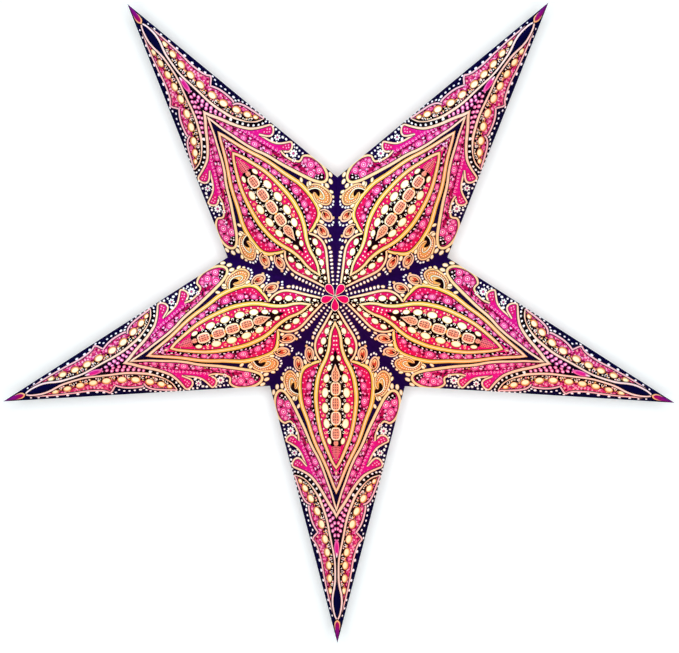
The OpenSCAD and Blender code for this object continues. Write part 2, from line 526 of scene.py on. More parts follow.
rosette(132, 390, 10.5, 8)
rosette(121.5, 453, 8.6)
rosette(123, 374, 6, 6)
for across, along, half_width, half_length, lean in (
        (106.5, 457, 3.8, 5.6, 30), (114.5, 396, 3, 5, 20), (133.5, 444, 3.4, 4.4, 0),
        (138, 434, 3.2, 4, 0)):
    oval((across, along), (half_width, half_length), "white", lean, 9)
dots([(131, 473, 3.4), (133.5, 461, 3.2), (130.5, 484, 2.8), (147, 409, 3), (148, 397, 3.4),
      (149.5, 386, 2.8), (152.5, 375, 2.8), (139, 374, 3), (114, 468, 2), (113, 444, 2.2),
      (128, 500, 2.6), (127, 511, 3), (144, 402, 2), (118, 408, 2)], "white")
print("rosettes set, shapes so far:", len(shapes))

# %% [markdown]
# ### The two lotus petals
#
# The wide petal stands behind the narrow one, and both share the ridge. Gold edges them. The wide one
# shows a crimson band with rings. The narrow one holds a dark heart with big pearls and, on the
# ridge itself, a string of hatched beads. The wide petal is painted first, because the narrow one covers
# part of it, just as it does in the print.

# %% Paint the wide petal
INNER_STRIP = [
    (44, 190), (53, 210), (60.5, 233), (65.5, 258), (68, 285), (67, 312), (63, 340), (58, 364), (52, 388),
    (45, 412), (36, 436), (27, 460), (18, 482), (8, 506),
]
paint(np.concatenate([smooth(WIDE_PETAL), [(-6, 400), (-6, 190)]]), "crimson")
line([(60, 205), (71, 230), (78, 257), (80.5, 285), (79, 312), (74, 341), (68, 367), (61, 394), (52, 421),
      (42, 447), (32, 471), (22, 495), (12, 520), (3, 546)],
     [6, 15, 17, 17, 16, 15, 13, 12, 9], "pink_lace")
line(INNER_STRIP, [4, 8, 9, 9, 8.5, 8, 7, 6], "black")
for k, (across, along) in enumerate(along_curve(INNER_STRIP, 12.5, 5)):
    shift, ink, lean = (-1.6, 1.4, 0.2)[k % 3], ("pink", "blush")[k % 2], (25, -20, 0, 40)[k % 4]
    oval((across + shift, along), (1.9, 3.6), ink, lean, 8)
print("wide petal painted, shapes so far:", len(shapes))

# %% Fill and edge the wide petal
for row in ((66.5, 222, 5.8, 8, 18), (77.5, 259, 7, 9.6, 8), (79.5, 303, 7.6, 11, -4),
            (71.5, 343, 6.8, 10, -14), (60.5, 380, 6, 8.6, -18), (51, 410, 5.2, 7.6, -20),
            (42, 436, 4.6, 7, -22), (33, 459, 4.2, 6.4, -22), (24, 482, 3.8, 6, -22),
            (15.5, 505, 3.4, 5.4, -20), (8, 527, 3, 4.8, -18)):
    ring(*row)
dots([(73, 240, 2.2), (81, 281, 2.4), (78, 324, 2.4), (67, 362, 2.2), (57, 396, 2), (89, 268, 2),
      (91, 282, 1.7), (89.5, 297, 2), (84, 330, 2), (80, 344, 1.7), (76, 358, 2), (85, 243, 2),
      (79, 229, 1.8), (59, 206, 2), (73, 214, 1.8), (66, 384, 1.7), (86, 221, 1.9), (91, 234, 1.8),
      (94.5, 250, 1.8), (95.5, 267, 1.7), (94, 309, 1.7), (88, 319, 1.8), (80, 217, 1.6),
      (97, 286, 1.5)], "pink")
on_ridge([(0, 497), (6, 503), (10, 512), (8.5, 526), (4, 541), (0, 552)], "pink_lace")
for across, along, half_width, half_length, lean, ink in (
        (0, 507, 2.8, 5.2, 0, "peach"), (5, 519, 2.8, 4.6, -25, "pink"), (0, 526, 2, 3.8, 0, "blush"),
        (3.2, 536, 2, 3.6, -15, "pink"), (0, 545, 1.6, 3.2, 0, "rose")):
    oval((across, along), (half_width + 1.2, half_length + 1.2), "maroon", lean, 10)
    oval((across, along), (half_width, half_length), ink, lean, 10)
edged(WIDE_PETAL, [6, 9, 11, 11.4, 10.8, 10, 9.4, 9, 8.4, 7.4, 6.4], "gold", 2.5, "light_gold")
print("wide petal edged, shapes so far:", len(shapes))

# %% Paint the tulip below it
def pearl(across, along, half_width, half_length, lean=0.0):
    """A pale oval with a golden rim, set in a dark contour."""
    for grow, ink in ((2.8, "black"), (1.2, "gold"), (0.4, "light_gold")):
        oval((across, along), (half_width + grow, half_length + grow), ink, lean, 14)
    oval((across - 0.4, along + 0.6), (half_width * 0.84, half_length * 0.84), "pearl", lean, 12)


paint(np.concatenate([smooth(TULIP), [(-4, 186), (-4, 31)]]), "black")
blob([(14, 66), (26, 84), (36, 99), (44, 112), (50.5, 126), (54, 141), (52.5, 154), (46, 168), (39, 166),
      (37, 148), (31, 128), (23, 106), (15, 86)], "crimson")
dots([(47.5, 138, 2), (43.5, 120, 2), (48, 152, 1.6), (37, 105, 1.8)], "pink")
dots([(31.5, 103, 2.6), (26, 110.5, 2), (38, 140, 2)], "orange")
for row in ((7.5, 58, 2.6, 4.4, 20), (14.5, 76, 4, 6.4, 22), (24, 99, 5.4, 8.4, 20),
            (34, 128, 6.6, 9.8, 16), (42, 156, 6, 9, 12)):
    pearl(*row)
dots([(23.5, 141, 2.6), (28, 155, 2.3), (21.5, 119, 2.2), (17, 89, 2), (36, 171, 2.4), (20, 108, 1.7),
      (10.5, 86, 1.6), (3, 50, 1.8), (2.5, 66, 1.6), (7, 73, 1.6), (30, 143, 1.8),
      (25.5, 111, 1.8)], "cream")
edged(TULIP, [4, 5.4, 6.2, 6.6, 6.4, 6, 5.4, 5], "peach", 1.8, "cream")
print("tulip painted, shapes so far:", len(shapes))

# %% Paint the narrow petal and its pearls
HEART = [
    (0, 150), (6, 166), (12, 186), (18.5, 206), (24, 228), (27.5, 252), (29, 276), (29.5, 304), (28.5, 334),
    (26.5, 360), (23.5, 386), (19.5, 412), (15, 428), (0, 433),
]
paint(np.concatenate([smooth(LOTUS), [(-8, 300)]]), "crimson")
on_ridge(HEART, "black")
dots([(3.4, 113, 2.1), (3.6, 126, 2.3), (3.6, 138, 2.2), (6, 150, 2), (9, 160, 1.8)], "white")
for row in ((9.6, 176, 4.6, 7.8, 20), (18, 204, 5.4, 9, 20), (26.4, 235, 7.4, 12, 14),
            (30.5, 276, 8.2, 13.6, 5), (30.7, 320, 8.4, 13.8, -3), (27, 365, 7.8, 13, -8),
            (19.5, 415, 4.6, 8.8, -14)):
    pearl(*row)
print("narrow petal painted, shapes so far:", len(shapes))

# %% Scatter the narrow petal's small marks
dots([(45.4, 306, 2.3), (43, 286, 2.3), (42.5, 260, 2.3), (39.5, 239, 2.1), (27, 202, 2), (17, 189, 1.9),
      (45, 332.5, 2.3), (41.7, 353, 2.3), (35.4, 380, 2.2), (29.2, 403.5, 2), (24, 430, 1.8),
      (17, 449, 1.7), (34, 220, 1.9), (8, 466, 1.5)], "blush")
for across, along, lean in ((45, 274.5, 20), (36, 254, 60), (29, 213, 70), (45.5, 318, -20),
                            (37.5, 341, -60), (30, 391, -60)):
    curl(across, along, 3.2, "peach", lean)
for across, along, lean in ((25.5, 256, 200), (16, 244, 250), (17.6, 286, 240), (25, 299, 160),
                            (24.6, 343, 200), (21.4, 390, 200), (15.6, 369, 120), (17, 324, 120)):
    curl(across, along, 3, "cream", lean, 1.9)
dots([(18.5, 271, 2.7), (14, 228, 2.5), (19.5, 308, 2.6), (19, 353, 2.7), (20, 335.5, 2.5),
      (16.2, 382, 2.6), (10.5, 194, 2), (14, 402, 2)], "white")
dots([(34, 249, 2.2), (38, 298, 2.4), (36, 344, 2.2), (31, 216, 2)], "orange")
print("narrow petal filled, shapes so far:", len(shapes))

# %% String the beads on the ridge
BEAD_HALF_WIDTH = 13.4
BEADS = ((393.5, 18.5), (349, 19.3), (307, 20), (264, 18.8))
BEAD_LAYERS = ((2, "black"), (0.4, "peach"), (-1.2, "cream"), (-3.2, "bead"))
for along, half in BEADS:
    for grow, ink in BEAD_LAYERS:
        w, h = BEAD_HALF_WIDTH + grow, half + grow
        on_ridge([(0, along - h), (w * 0.6, along - h * 0.93), (w, along - h * 0.5), (w, along + h * 0.5),
                  (w * 0.6, along + h * 0.93), (0, along + h)], ink)
    for step in (-0.66, -0.22, 0.22, 0.66):
        dots([(0, along + half * step, 1.7), (5.6, along + half * step, 1.8)], "maroon")
    on_ridge([(0, along + half - 2.4), (3.6, along + half), (3.6, along + half + 3),
              (0, along + half + 5)], "orange")
print("beads:", len(BEADS), "shapes so far:", len(shapes))

# %% End the string of beads and edge the narrow petal
on_ridge([(0, 188), (6, 203), (12.6, 219), (13, 233), (8, 243.5), (0, 246)], "black")
on_ridge([(0, 192), (5.4, 205), (11.2, 219), (11.6, 232), (7, 241.5), (0, 244)], "blush_line")
on_ridge([(0, 198), (3.6, 208), (8.4, 220), (8.8, 231), (5, 238.5), (0, 241)], "bead")
dots([(0, 209, 1.4), (3.4, 215, 1.5), (0, 221, 1.6), (5, 225, 1.6), (0, 232, 1.6),
      (5, 234.5, 1.5)], "maroon")
on_ridge([(0, 411), (6, 414), (8.6, 420), (6.4, 428), (0, 433)], "black")
on_ridge([(0, 413), (4.8, 415.5), (6.8, 420), (5, 426), (0, 430)], "bead")
on_ridge([(0, 473), (5, 462), (10, 449), (13, 436), (10.5, 430.5), (0, 429)], "rose_hatch")
edged(LOTUS, [4.6, 6.4, 8, 9.6, 10.6, 11, 10.8, 10.2, 9.4, 8, 6.4], "gold", 2.3, "light_gold")
print("narrow petal edged, shapes so far:", len(shapes))

# %% [markdown]
# ### Flower, scrolls and dots around the middle
#
# Five crimson drops meet at the pole. In the valley between two points three scrolls curl on the navy,
# two small ones and a large one, with cream drops and white dots around them. The small scrolls could be
# drawn layer by layer, but they share one recipe: the same outline, grown and shrunk about its middle,
# gives the contour and the layers inside.

# %% Paint the middle flower
on_ridge([(0, -2), (4.5, 6), (9.5, 15), (13, 26), (11, 38), (0, 45)], "black")
on_ridge([(0, 1), (3.6, 8), (8, 16), (11.2, 26), (9.2, 37), (0, 42.5)], "cream")
on_ridge([(0, 3.6), (3, 9.2), (7, 16.6), (10, 26.3), (8.1, 36), (0, 40.9)], "crimson")
print("one drop of the flower painted, shapes so far:", len(shapes))

# %% Paint the two small scrolls
def grown(points, share):
    """The outline grown or shrunk about its middle."""
    body = np.array(points, float)
    middle = body.mean(0)
    return middle + (body - middle) * share


def scroll(path, mouth, heart, knob):
    """A comma scroll: a pale line curled round a rust drop, with a dark mouth and a knob at its foot."""
    oval(knob, (5.4, 5.4), "black")
    oval(knob, (4, 4), "peach", corners=9)
    for share, ink in ((1.15, "black"), (0.84, "maroon"), (0.7, "peach"), (0.54, "rust")):
        blob(grown(path, share), ink)
    oval(heart, (2.2, 4.4), "peach", -10, 9)
    oval(mouth, (2.4, 5.8), "black", 16, 10)
    line(path, [3, 4, 4.8, 4.6, 4], "blush_line")


scroll([(101, 218), (111, 214), (118, 204), (119.5, 193), (116.5, 182), (110.5, 177), (104, 179.5),
        (98.5, 187), (95.5, 197), (96.5, 205), (100.5, 209)], (105.5, 204), (107.5, 190), (119, 179.5))
scroll([(72, 192), (79.5, 187), (85, 177), (87, 166.5), (85.5, 156.5), (80.5, 148.5), (73.5, 148.5),
        (67, 154.5), (63.5, 164.5), (64.5, 174), (68.5, 181.5)], (74, 174), (75, 160), (83.5, 144.5))
print("small scrolls painted, shapes so far:", len(shapes))

# %% Paint the large scroll
LARGE_SCROLL = [
    (108.5, 288), (118, 290.5), (128, 288), (137, 280), (143.5, 269), (147, 258), (150, 248), (150, 239),
    (146.5, 229), (140, 221.5), (132, 218), (124.5, 221), (117, 229), (111, 238), (109, 248), (110, 258),
    (113.5, 265.5), (117, 268),
]
SCROLL_BAND = [
    (124.5, 286), (132, 277.5), (138, 266.5), (141, 255), (141.5, 243), (138, 232.5), (132, 227.5),
    (125.5, 229), (119.5, 235), (115, 242), (112.5, 250),
]
blob(grown(LARGE_SCROLL, 1.08), "black")
blob(LARGE_SCROLL, "amber")
line(SCROLL_BAND, [6.4, 7, 6.4], "rust")
line(SCROLL_BAND, [4.4, 5, 4.4], "orange")
places = along_curve(SCROLL_BAND, 6.4)
sizes = np.linspace(1.9, 1.7, len(places))
dots([(across, along, radius) for (across, along), radius in zip(places, sizes)], "cream", corners=7)
print("large scroll filled, shapes so far:", len(shapes))

# %% Draw the large scroll's mouth and contour
blob([(108, 281), (120, 278), (128.5, 270), (130, 261), (126, 254), (121, 250.5), (119.5, 258),
      (119.5, 265.5), (116, 270.5), (109, 269)], "black")
edged([(108, 283.5), (120, 280), (129, 273.5), (133.5, 264.5), (134.5, 253.5), (133, 244.5), (128.5, 238.5),
       (123.5, 240.5), (120, 247)], [3, 3.4, 3.4, 3, 2.6], "cream", 1)
line(LARGE_SCROLL, [7, 8, 8.2, 8, 7.6, 7, 6], "maroon")
line(LARGE_SCROLL, [3.4, 4.2, 4.8, 4.6, 4.2, 3.8, 3.2], "peach")
dots([(126, 249.5, 2.2)], "light_gold")
print("large scroll edged, shapes so far:", len(shapes))

# %% Set the cream drops around the middle
def petal(across, along, half_width, half_length, lean=0.0):
    """A pale drop with a peach edge and a dark contour."""
    for grow, ink in ((1.4, "black"), (0.2, "peach"), (-1.3, "cream")):
        oval((across, along), (half_width + grow, half_length + grow), ink, lean, 12)


DROPS = [
    (155.5, 241, 4, 6.6, -20), (151.5, 227, 3.2, 4.4, 20), (155.5, 262, 5, 8, 0), (170, 265, 5, 8, 8),
    (180.5, 281, 4.4, 8, 8), (116, 297, 4, 7, 30), (121.5, 295.5, 4.4, 6.6, 20), (108, 318, 4, 7, 22),
    (110, 228, 4.2, 7.6, -15), (87.5, 190, 4.6, 7.8, -20), (58.5, 178.5, 4.6, 5.8, 0), (67, 139, 3, 6, 10),
    (64.5, 119, 3.8, 5.8, 10),
]
for row in DROPS:
    petal(*row)
print("cream drops:", len(DROPS), "shapes so far:", len(shapes))

# %% Set the white dots around the middle
TULIP_DOTS = 9
for k in range(TULIP_DOTS):
    across, along, lean = 60.5 - 5.5 * k, 106.5 - 9.4 * k, 24 + 1.5 * k
    half_width, half_length = 5.2 - 0.24 * k, 4 - 0.14 * k
    oval((across, along), (half_width, half_length), "peach", lean, 10)
    oval((across - 0.5, along + 0.3), (half_width - 0.9, half_length - 0.7), "white", lean, 9)
for across, along, lean in (
        (117, 217, -30), (123, 212, -15), (131, 208.5, 0), (139, 209.5, 20), (145, 215.5, 30),
        (91.5, 177, -25), (98.5, 169, -15), (106.5, 165.5, 0), (112.5, 169, 30), (75, 135, 0),
        (82, 133, 10), (147, 272, 0)):
    oval((across, along), (2.7, 3.6), "white", lean, 8)
print("shapes in the drawing:", len(shapes))

# %% [markdown]
# ## Cutting the drawing into one flat mesh
#
# The print is a single layer of ink, so the stacked outlines have to become one flat mesh. Boolean
# modifiers could do that, but hundreds of them would take long. Blender's constrained Delaunay routine
# takes all outlines at once and returns triangles that no outline crosses. For each triangle it tells
# which shapes cover it, and the last one painted wins. Triangles outside the half point are dropped.

# %% Cut the half point
INKS = [
    "navy", "black", "maroon", "crimson", "magenta", "rose", "pink", "blush", "blush_line", "gold",
    "light_gold", "orange", "peach", "amber", "cream", "white", "pearl", "violet", "rust", "ruby", "bead",
    "rose_hatch", "dark_lace", "pink_lace", "plain_paper",
]
# The first shape painted covers the whole half point
GROUND = 0
# Outline points nearer than this become one
MERGE = 0.03


def cut_half_point(extra=()):
    """The drawing as (points, triangles, ink numbers); extra outlines are cut out of it."""
    verts, faces, ink_numbers = [], [], []
    for outline, ink in list(shapes) + [(e, None) for e in extra]:
        start = len(verts)
        verts.extend(Vector(p) for p in outline)
        faces.append(list(range(start, len(verts))))
        ink_numbers.append(None if ink is None else INKS.index(ink))
    points, _, cells, _, _, sources = delaunay_2d_cdt(verts, [], faces, 0, MERGE)
    keep, inks = [], []
    for cell, covers in zip(cells, sources):
        if GROUND in covers and ink_numbers[max(covers)] is not None:
            keep.append(cell)
            inks.append(ink_numbers[max(covers)])
    used, keep = np.unique(np.array(keep), return_inverse=True)
    return np.array([p[:] for p in points])[used], keep.reshape(-1, 3), np.array(inks)


half_print = cut_half_point()
print("one half point:", len(half_print[1]), "triangles")

# %% [markdown]
# ## Inks on paper
#
# Print on paper isn't one flat colour. Each ink here shifts slowly along the point, as the real one does
# between the middle and the tips, and carries a faint mottle, the tooth of the paper and a soft sheen.
# All of that could sit in one large material, but one small material per ink is easier to read and to
# change. A few helpers build what they share.

# %% Build the paper
MOTTLE_SIZE = 0.0035
MOTTLE_DETAIL = 3
TOOTH_SIZE = 0.0006
TOOTH_HEIGHT = 0.0002
TOOTH_STRENGTH = 0.12
SMOOTHEST, ROUGHEST = 0.52, 0.7
SHEEN = 0.012


def new_paper(name):
    """A paper material with tooth and sheen; returns it with its node tree, shader and mottle."""
    material = bpy.data.materials.new(name)
    material.use_nodes = True
    tree = material.node_tree
    shader = tree.nodes["Principled BSDF"]
    shader.inputs["Specular IOR Level"].default_value = SHEEN
    place = tree.nodes.new("ShaderNodeTexCoord")
    mottle = tree.nodes.new("ShaderNodeTexNoise")
    mottle.inputs["Scale"].default_value = 1 / MOTTLE_SIZE
    mottle.inputs["Detail"].default_value = MOTTLE_DETAIL
    tooth = tree.nodes.new("ShaderNodeTexNoise")
    tooth.inputs["Scale"].default_value = 1 / TOOTH_SIZE
    bump = tree.nodes.new("ShaderNodeBump")
    bump.inputs["Strength"].default_value = TOOTH_STRENGTH
    bump.inputs["Distance"].default_value = TOOTH_HEIGHT
    rough = tree.nodes.new("ShaderNodeMapRange")
    rough.inputs["To Min"].default_value = SMOOTHEST
    rough.inputs["To Max"].default_value = ROUGHEST
    link = tree.links.new
    link(place.outputs["Object"], mottle.inputs["Vector"])
    link(place.outputs["Object"], tooth.inputs["Vector"])
    link(tooth.outputs["Fac"], bump.inputs["Height"])
    link(bump.outputs["Normal"], shader.inputs["Normal"])
    link(mottle.outputs["Fac"], rough.inputs["Value"])
    link(rough.outputs["Result"], shader.inputs["Roughness"])
    return material, tree, shader, mottle


print(f"paper: mottle {MOTTLE_SIZE * 1000:.1f} mm, tooth {TOOTH_SIZE * 1000:.1f} mm")

# %% Colours that change along the point
def linear(rgb):
    """A display colour, 0 to 255 per channel, as the linear colour that shaders work in."""
    # The standard curve between the two
    c = np.array(rgb, float) / 255
    return tuple(np.where(c <= 0.04045, c / 12.92, ((c + 0.055) / 1.055) ** 2.4)) + (1.0,)


def fill_ramp(ramp, stops):
    """Sets a colour ramp's marks; stops are (position, display colour)."""
    marks = ramp.color_ramp.elements
    while len(marks) < len(stops):
        marks.new(0.5)
    for mark, (at, rgb) in zip(marks, stops):
        mark.position = at
        mark.color = linear(rgb)


def ramp_along(tree, stops):
    """A colour that changes along the point; a stop's position is its share of the tip radius."""
    uv = tree.nodes.new("ShaderNodeUVMap")
    uv.uv_map = "print"
    split = tree.nodes.new("ShaderNodeSeparateXYZ")
    ramp = tree.nodes.new("ShaderNodeValToRGB")
    tree.links.new(uv.outputs["UV"], split.inputs["Vector"])
    tree.links.new(split.outputs["Y"], ramp.inputs["Fac"])
    fill_ramp(ramp, stops)
    return uv, ramp


print("mid grey in linear light is", [round(float(v), 3) for v in linear((128, 128, 128))[:3]])

# %% Build one ink
MOTTLE_LOW, MOTTLE_HIGH = 0.3, 0.7


def mottled(tree, shader, mottle, colour, depth):
    """Sends a colour to the shader, slightly lighter and darker with the mottle."""
    level = tree.nodes.new("ShaderNodeMapRange")
    level.inputs["From Min"].default_value = MOTTLE_LOW
    level.inputs["From Max"].default_value = MOTTLE_HIGH
    level.inputs["To Min"].default_value = 1 - depth
    level.inputs["To Max"].default_value = 1 + depth
    mix = tree.nodes.new("ShaderNodeVectorMath")
    mix.operation = "SCALE"
    tree.links.new(mottle.outputs["Fac"], level.inputs["Value"])
    tree.links.new(colour, mix.inputs[0])
    tree.links.new(level.outputs["Result"], mix.inputs["Scale"])
    tree.links.new(mix.outputs["Vector"], shader.inputs["Base Color"])


def plain_ink(name, depth, stops):
    """An ink that only shifts along the point; depth is how strong its mottle is."""
    material, tree, shader, mottle = new_paper(name)
    _, ramp = ramp_along(tree, stops)
    mottled(tree, shader, mottle, ramp.outputs["Color"], depth)
    return material


print("an ink's mottle spreads over noise from", MOTTLE_LOW, "to", MOTTLE_HIGH)

# %% Mix the dark and red inks
# Each ink as (depth of its mottle, stops along the point)
DARK_AND_RED = {
    "navy": (0.2, [(0.05, (33, 5, 64)), (0.25, (26, 3, 66)), (0.35, (20, 2, 58)), (0.6, (6, 1, 42)),
                   (0.9, (1, 1, 52))]),
    "black": (0.2, [(0.1, (20, 0, 6)), (0.4, (16, 0, 6)), (0.8, (10, 0, 10))]),
    "maroon": (0.15, [(0.1, (112, 10, 24)), (0.4, (126, 4, 48)), (0.8, (124, 10, 46))]),
    "crimson": (0.08, [(0.03, (224, 12, 96)), (0.25, (228, 20, 88)), (0.5, (228, 24, 116)),
                       (0.8, (218, 36, 118))]),
    "magenta": (0.08, [(0.28, (232, 20, 122)), (0.45, (232, 18, 138)), (0.7, (224, 34, 146))]),
    "rose": (0.1, [(0.3, (240, 86, 152)), (0.5, (238, 86, 160)), (0.7, (236, 100, 170))]),
    "pink": (0.1, [(0.2, (252, 172, 222)), (0.45, (250, 168, 218)), (0.7, (246, 178, 220))]),
    "blush": (0.04, [(0.1, (255, 240, 236)), (0.45, (255, 234, 242)), (0.9, (252, 232, 246))]),
    "rust": (0.15, [(0.05, (206, 74, 52)), (0.3, (204, 66, 50))]),
    "violet": (0.1, [(0.945, (168, 8, 96)), (0.96, (140, 10, 128)), (0.992, (86, 24, 108))]),
}
ink_materials = {name: plain_ink("ink_" + name, *recipe) for name, recipe in DARK_AND_RED.items()}
print("inks so far:", len(ink_materials))

# %% Mix the gold and pale inks
GOLD_AND_PALE = {
    "blush_line": (0.06, [(0.1, (253, 206, 168)), (0.28, (253, 204, 172)), (0.56, (250, 192, 202)),
                          (0.9, (250, 196, 202))]),
    "gold": (0.06, [(0.08, (252, 206, 136)), (0.2, (254, 202, 84)), (0.28, (255, 194, 76)),
                    (0.38, (255, 182, 92)), (0.5, (252, 178, 120)), (0.6, (250, 186, 144))]),
    "light_gold": (0.05, [(0.08, (255, 240, 212)), (0.28, (255, 233, 180)), (0.5, (255, 228, 206))]),
    "orange": (0.08, [(0.1, (244, 152, 72)), (0.4, (246, 158, 70)), (0.8, (246, 172, 92)),
                      (0.95, (250, 186, 140))]),
    "peach": (0.06, [(0.05, (255, 202, 154)), (0.14, (254, 196, 142)), (0.25, (255, 216, 152)),
                     (0.45, (255, 202, 164)), (0.7, (252, 202, 178)), (0.9, (250, 216, 216))]),
    "amber": (0.1, [(0.2, (246, 178, 92)), (0.55, (240, 170, 92))]),
    "cream": (0.04, [(0.04, (255, 244, 220)), (0.2, (255, 245, 218)), (0.5, (255, 238, 220)),
                     (0.9, (255, 236, 238))]),
    "white": (0.03, [(0.05, (255, 249, 242)), (0.4, (255, 249, 246)), (0.8, (254, 246, 255))]),
    "pearl": (0.03, [(0.1, (255, 254, 234)), (0.4, (255, 255, 224)), (0.8, (255, 250, 204))]),
}
for name, recipe in GOLD_AND_PALE.items():
    ink_materials[name] = plain_ink("ink_" + name, *recipe)
PLAIN_PAPER = (0.03, [(0.0, (236, 228, 212)), (1.0, (240, 234, 222))])
ink_materials["plain_paper"] = plain_ink("paper_inside", *PLAIN_PAPER)
print("inks so far:", len(ink_materials))

# %% [markdown]
# ### Inks with fine filling
#
# Between the big motifs the print is filled with curls and dots less than a millimetre wide. Drawing
# them all would take millions of triangles. So five inks carry a speckle instead: a Voronoi texture in
# the drawing's own directions scatters small spots, and each spot picks one of a few colours.

# %% Build an ink with fine filling
SPOT_EDGE = 0.06
SPECKLE_DEPTH = 0.1


def speckled_ink(name, stops, spot_colours, cell, reach, scatter=1.0):
    """An ink with small spots of other inks; cell is their spacing and reach their share of it.

    A scatter of 0 would set them in even rows, and 1 strews them.
    """
    material, tree, shader, mottle = new_paper(name)
    uv, ramp = ramp_along(tree, stops)
    spots = tree.nodes.new("ShaderNodeTexVoronoi")
    spots.voronoi_dimensions = "2D"
    spots.inputs["Scale"].default_value = TIP / cell
    spots.inputs["Randomness"].default_value = scatter
    edge = tree.nodes.new("ShaderNodeMapRange")
    edge.inputs["From Min"].default_value = reach + SPOT_EDGE
    edge.inputs["From Max"].default_value = reach - SPOT_EDGE
    pick = tree.nodes.new("ShaderNodeValToRGB")
    pick.color_ramp.interpolation = "CONSTANT"
    fill_ramp(pick, [(k / len(spot_colours), rgb) for k, rgb in enumerate(spot_colours)])
    mix = tree.nodes.new("ShaderNodeMix")
    mix.data_type = "RGBA"
    link = tree.links.new
    link(uv.outputs["UV"], spots.inputs["Vector"])
    link(spots.outputs["Distance"], edge.inputs["Value"])
    link(spots.outputs["Color"], pick.inputs["Fac"])
    link(edge.outputs["Result"], mix.inputs["Factor"])
    link(ramp.outputs["Color"], mix.inputs["A"])
    link(pick.outputs["Color"], mix.inputs["B"])
    mottled(tree, shader, mottle, mix.outputs["Result"], SPECKLE_DEPTH)
    return material


print(f"a spot's edge is soft over {2 * SPOT_EDGE:.2f} of its cell")

# %% Mix the inks with fine filling
FINE_FILLING = {
    "dark_lace": dict(
        stops=[(0.1, (26, 4, 12)), (0.5, (24, 3, 14))],
        spot_colours=[(255, 232, 200), (240, 140, 150), (244, 180, 110), (40, 6, 20), (255, 226, 220)],
        cell=7.4, reach=0.32),
    "pink_lace": dict(
        stops=[(0.2, (184, 10, 66)), (0.45, (178, 8, 80)), (0.7, (170, 16, 86))],
        spot_colours=[(58, 4, 34), (252, 178, 222), (70, 4, 40), (244, 108, 168), (64, 4, 40),
                      (254, 212, 238)],
        cell=9, reach=0.4),
    "ruby": dict(
        stops=[(0.5, (224, 44, 120)), (0.66, (216, 40, 116)), (0.85, (212, 44, 100))],
        spot_colours=[(120, 4, 44), (250, 170, 200), (240, 110, 146), (130, 8, 40), (248, 176, 170)],
        cell=8.4, reach=0.36),
    "bead": dict(
        stops=[(0.2, (248, 172, 130)), (0.45, (250, 166, 142))],
        spot_colours=[(170, 40, 36), (206, 78, 60)],
        cell=5.2, reach=0.26, scatter=0.1),
    "rose_hatch": dict(
        stops=[(0.4, (236, 116, 120)), (0.5, (240, 130, 146))],
        spot_colours=[(140, 14, 50), (190, 40, 80)],
        cell=4.8, reach=0.32, scatter=0.15),
}
for name, recipe in FINE_FILLING.items():
    ink_materials[name] = speckled_ink("ink_" + name, **recipe)
print("inks in all:", len(ink_materials))

# %% [markdown]
# ## Folding the printed sheets
#
# A real point is a flat printed sheet, folded at its ridges and sides. A face of a point is flat too, so
# the drawing is laid on it by a plain linear rule: its corners go to the pole, the inner corner and the
# tip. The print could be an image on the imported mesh, but then it would blur when seen from close by.

# %% Lay the drawing on a face
def on_face(drawing, side, facing):
    """The drawing on one face of an upright point; side is -1 left or 1 right, facing -1 front or 1 back."""
    beside = drawing[:, 0] / CORNER[0]
    towards_tip = (drawing[:, 1] - CORNER[1] * beside) / TIP
    height = POLE_HEIGHT * (1 - beside - towards_tip)
    return np.stack([side * drawing[:, 0] * UNIT, facing * height, drawing[:, 1] * UNIT], 1)


def turned(points, angle):
    """Upright points turned about the star's axis, from +Z towards +X."""
    c, s = math.cos(angle), math.sin(angle)
    x, y, z = points.T
    return np.stack([c * x + s * z, y, c * z - s * x], 1)


front_tip = on_face(np.array([(0.0, TIP)]), 1, -1)[0]
print(f"the drawing's tip lands {front_tip[2] * 1000:.1f} mm from the star's middle")

# %% [markdown]
# ### The cord hole
#
# A lamp's cord goes in through a round hole behind the top seam, half in one point and half in the next.
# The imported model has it, so the printed faces need it too. A Boolean modifier could cut it, but the
# cutter above already knows how to leave an outline out. Seen from above the hole is a circle, and a
# face is flat, so a 2 by 2 rule carries that circle into the drawing.

# %% Cut the cord hole out of the faces behind the top seam
RIM_CORNERS = 48
hole = next(mount for mount in frame["record"]["mounts"] if mount["name"] == "cord_hole")
hole_y = hole["pos_m"][1]
seam = np.array([v.co[:] for v in frame["nodes"]["top_right_point"].data.vertices])
near_corner = seam[seam[:, 2] > CORNER_RADIUS / 2]
HOLE_RADIUS = float(np.hypot(near_corner[:, 0], near_corner[:, 1] - hole_y).min())

probe = turned(on_face(np.array([(0.0, 0.0), (1.0, 0.0), (0.0, 1.0)]), -1, 1), HALF_PITCH)[:, :2]
to_drawing = np.linalg.inv((probe[1:] - probe[0]).T)
circle = np.linspace(0, 2 * np.pi, RIM_CORNERS, endpoint=False)
rim = np.stack([HOLE_RADIUS * np.cos(circle), hole_y + HOLE_RADIUS * np.sin(circle)], 1)
holed_print = cut_half_point([anticlockwise((rim - probe[0]) @ to_drawing.T)])
print(f"cord hole {HOLE_RADIUS * 2000:.1f} mm across; that face has {len(holed_print[1])} triangles")

# %% [markdown]
# ### One sheet from its faces
#
# Four printed faces make the outside of a sheet. The inside, the glue flaps, the lap and the paper's cut
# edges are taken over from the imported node, whose own printed faces are left out. The faces meet along
# the folds, so their points are welded there, and each point of the star becomes one whole sheet.

# %% Gather the faces of one sheet
# How far from a point's axis its side folds would pass the star's middle
SIDE_REACH = CORNER[0] * UNIT * TIP_RADIUS / (TIP_RADIUS - CORNER[1] * UNIT)
# How near to a printed face's plane a corner counts as on it
ON_FACE = 1e-4
SEAM_SIDES = (("top_right_point", -1), ("top_left_point", 1))


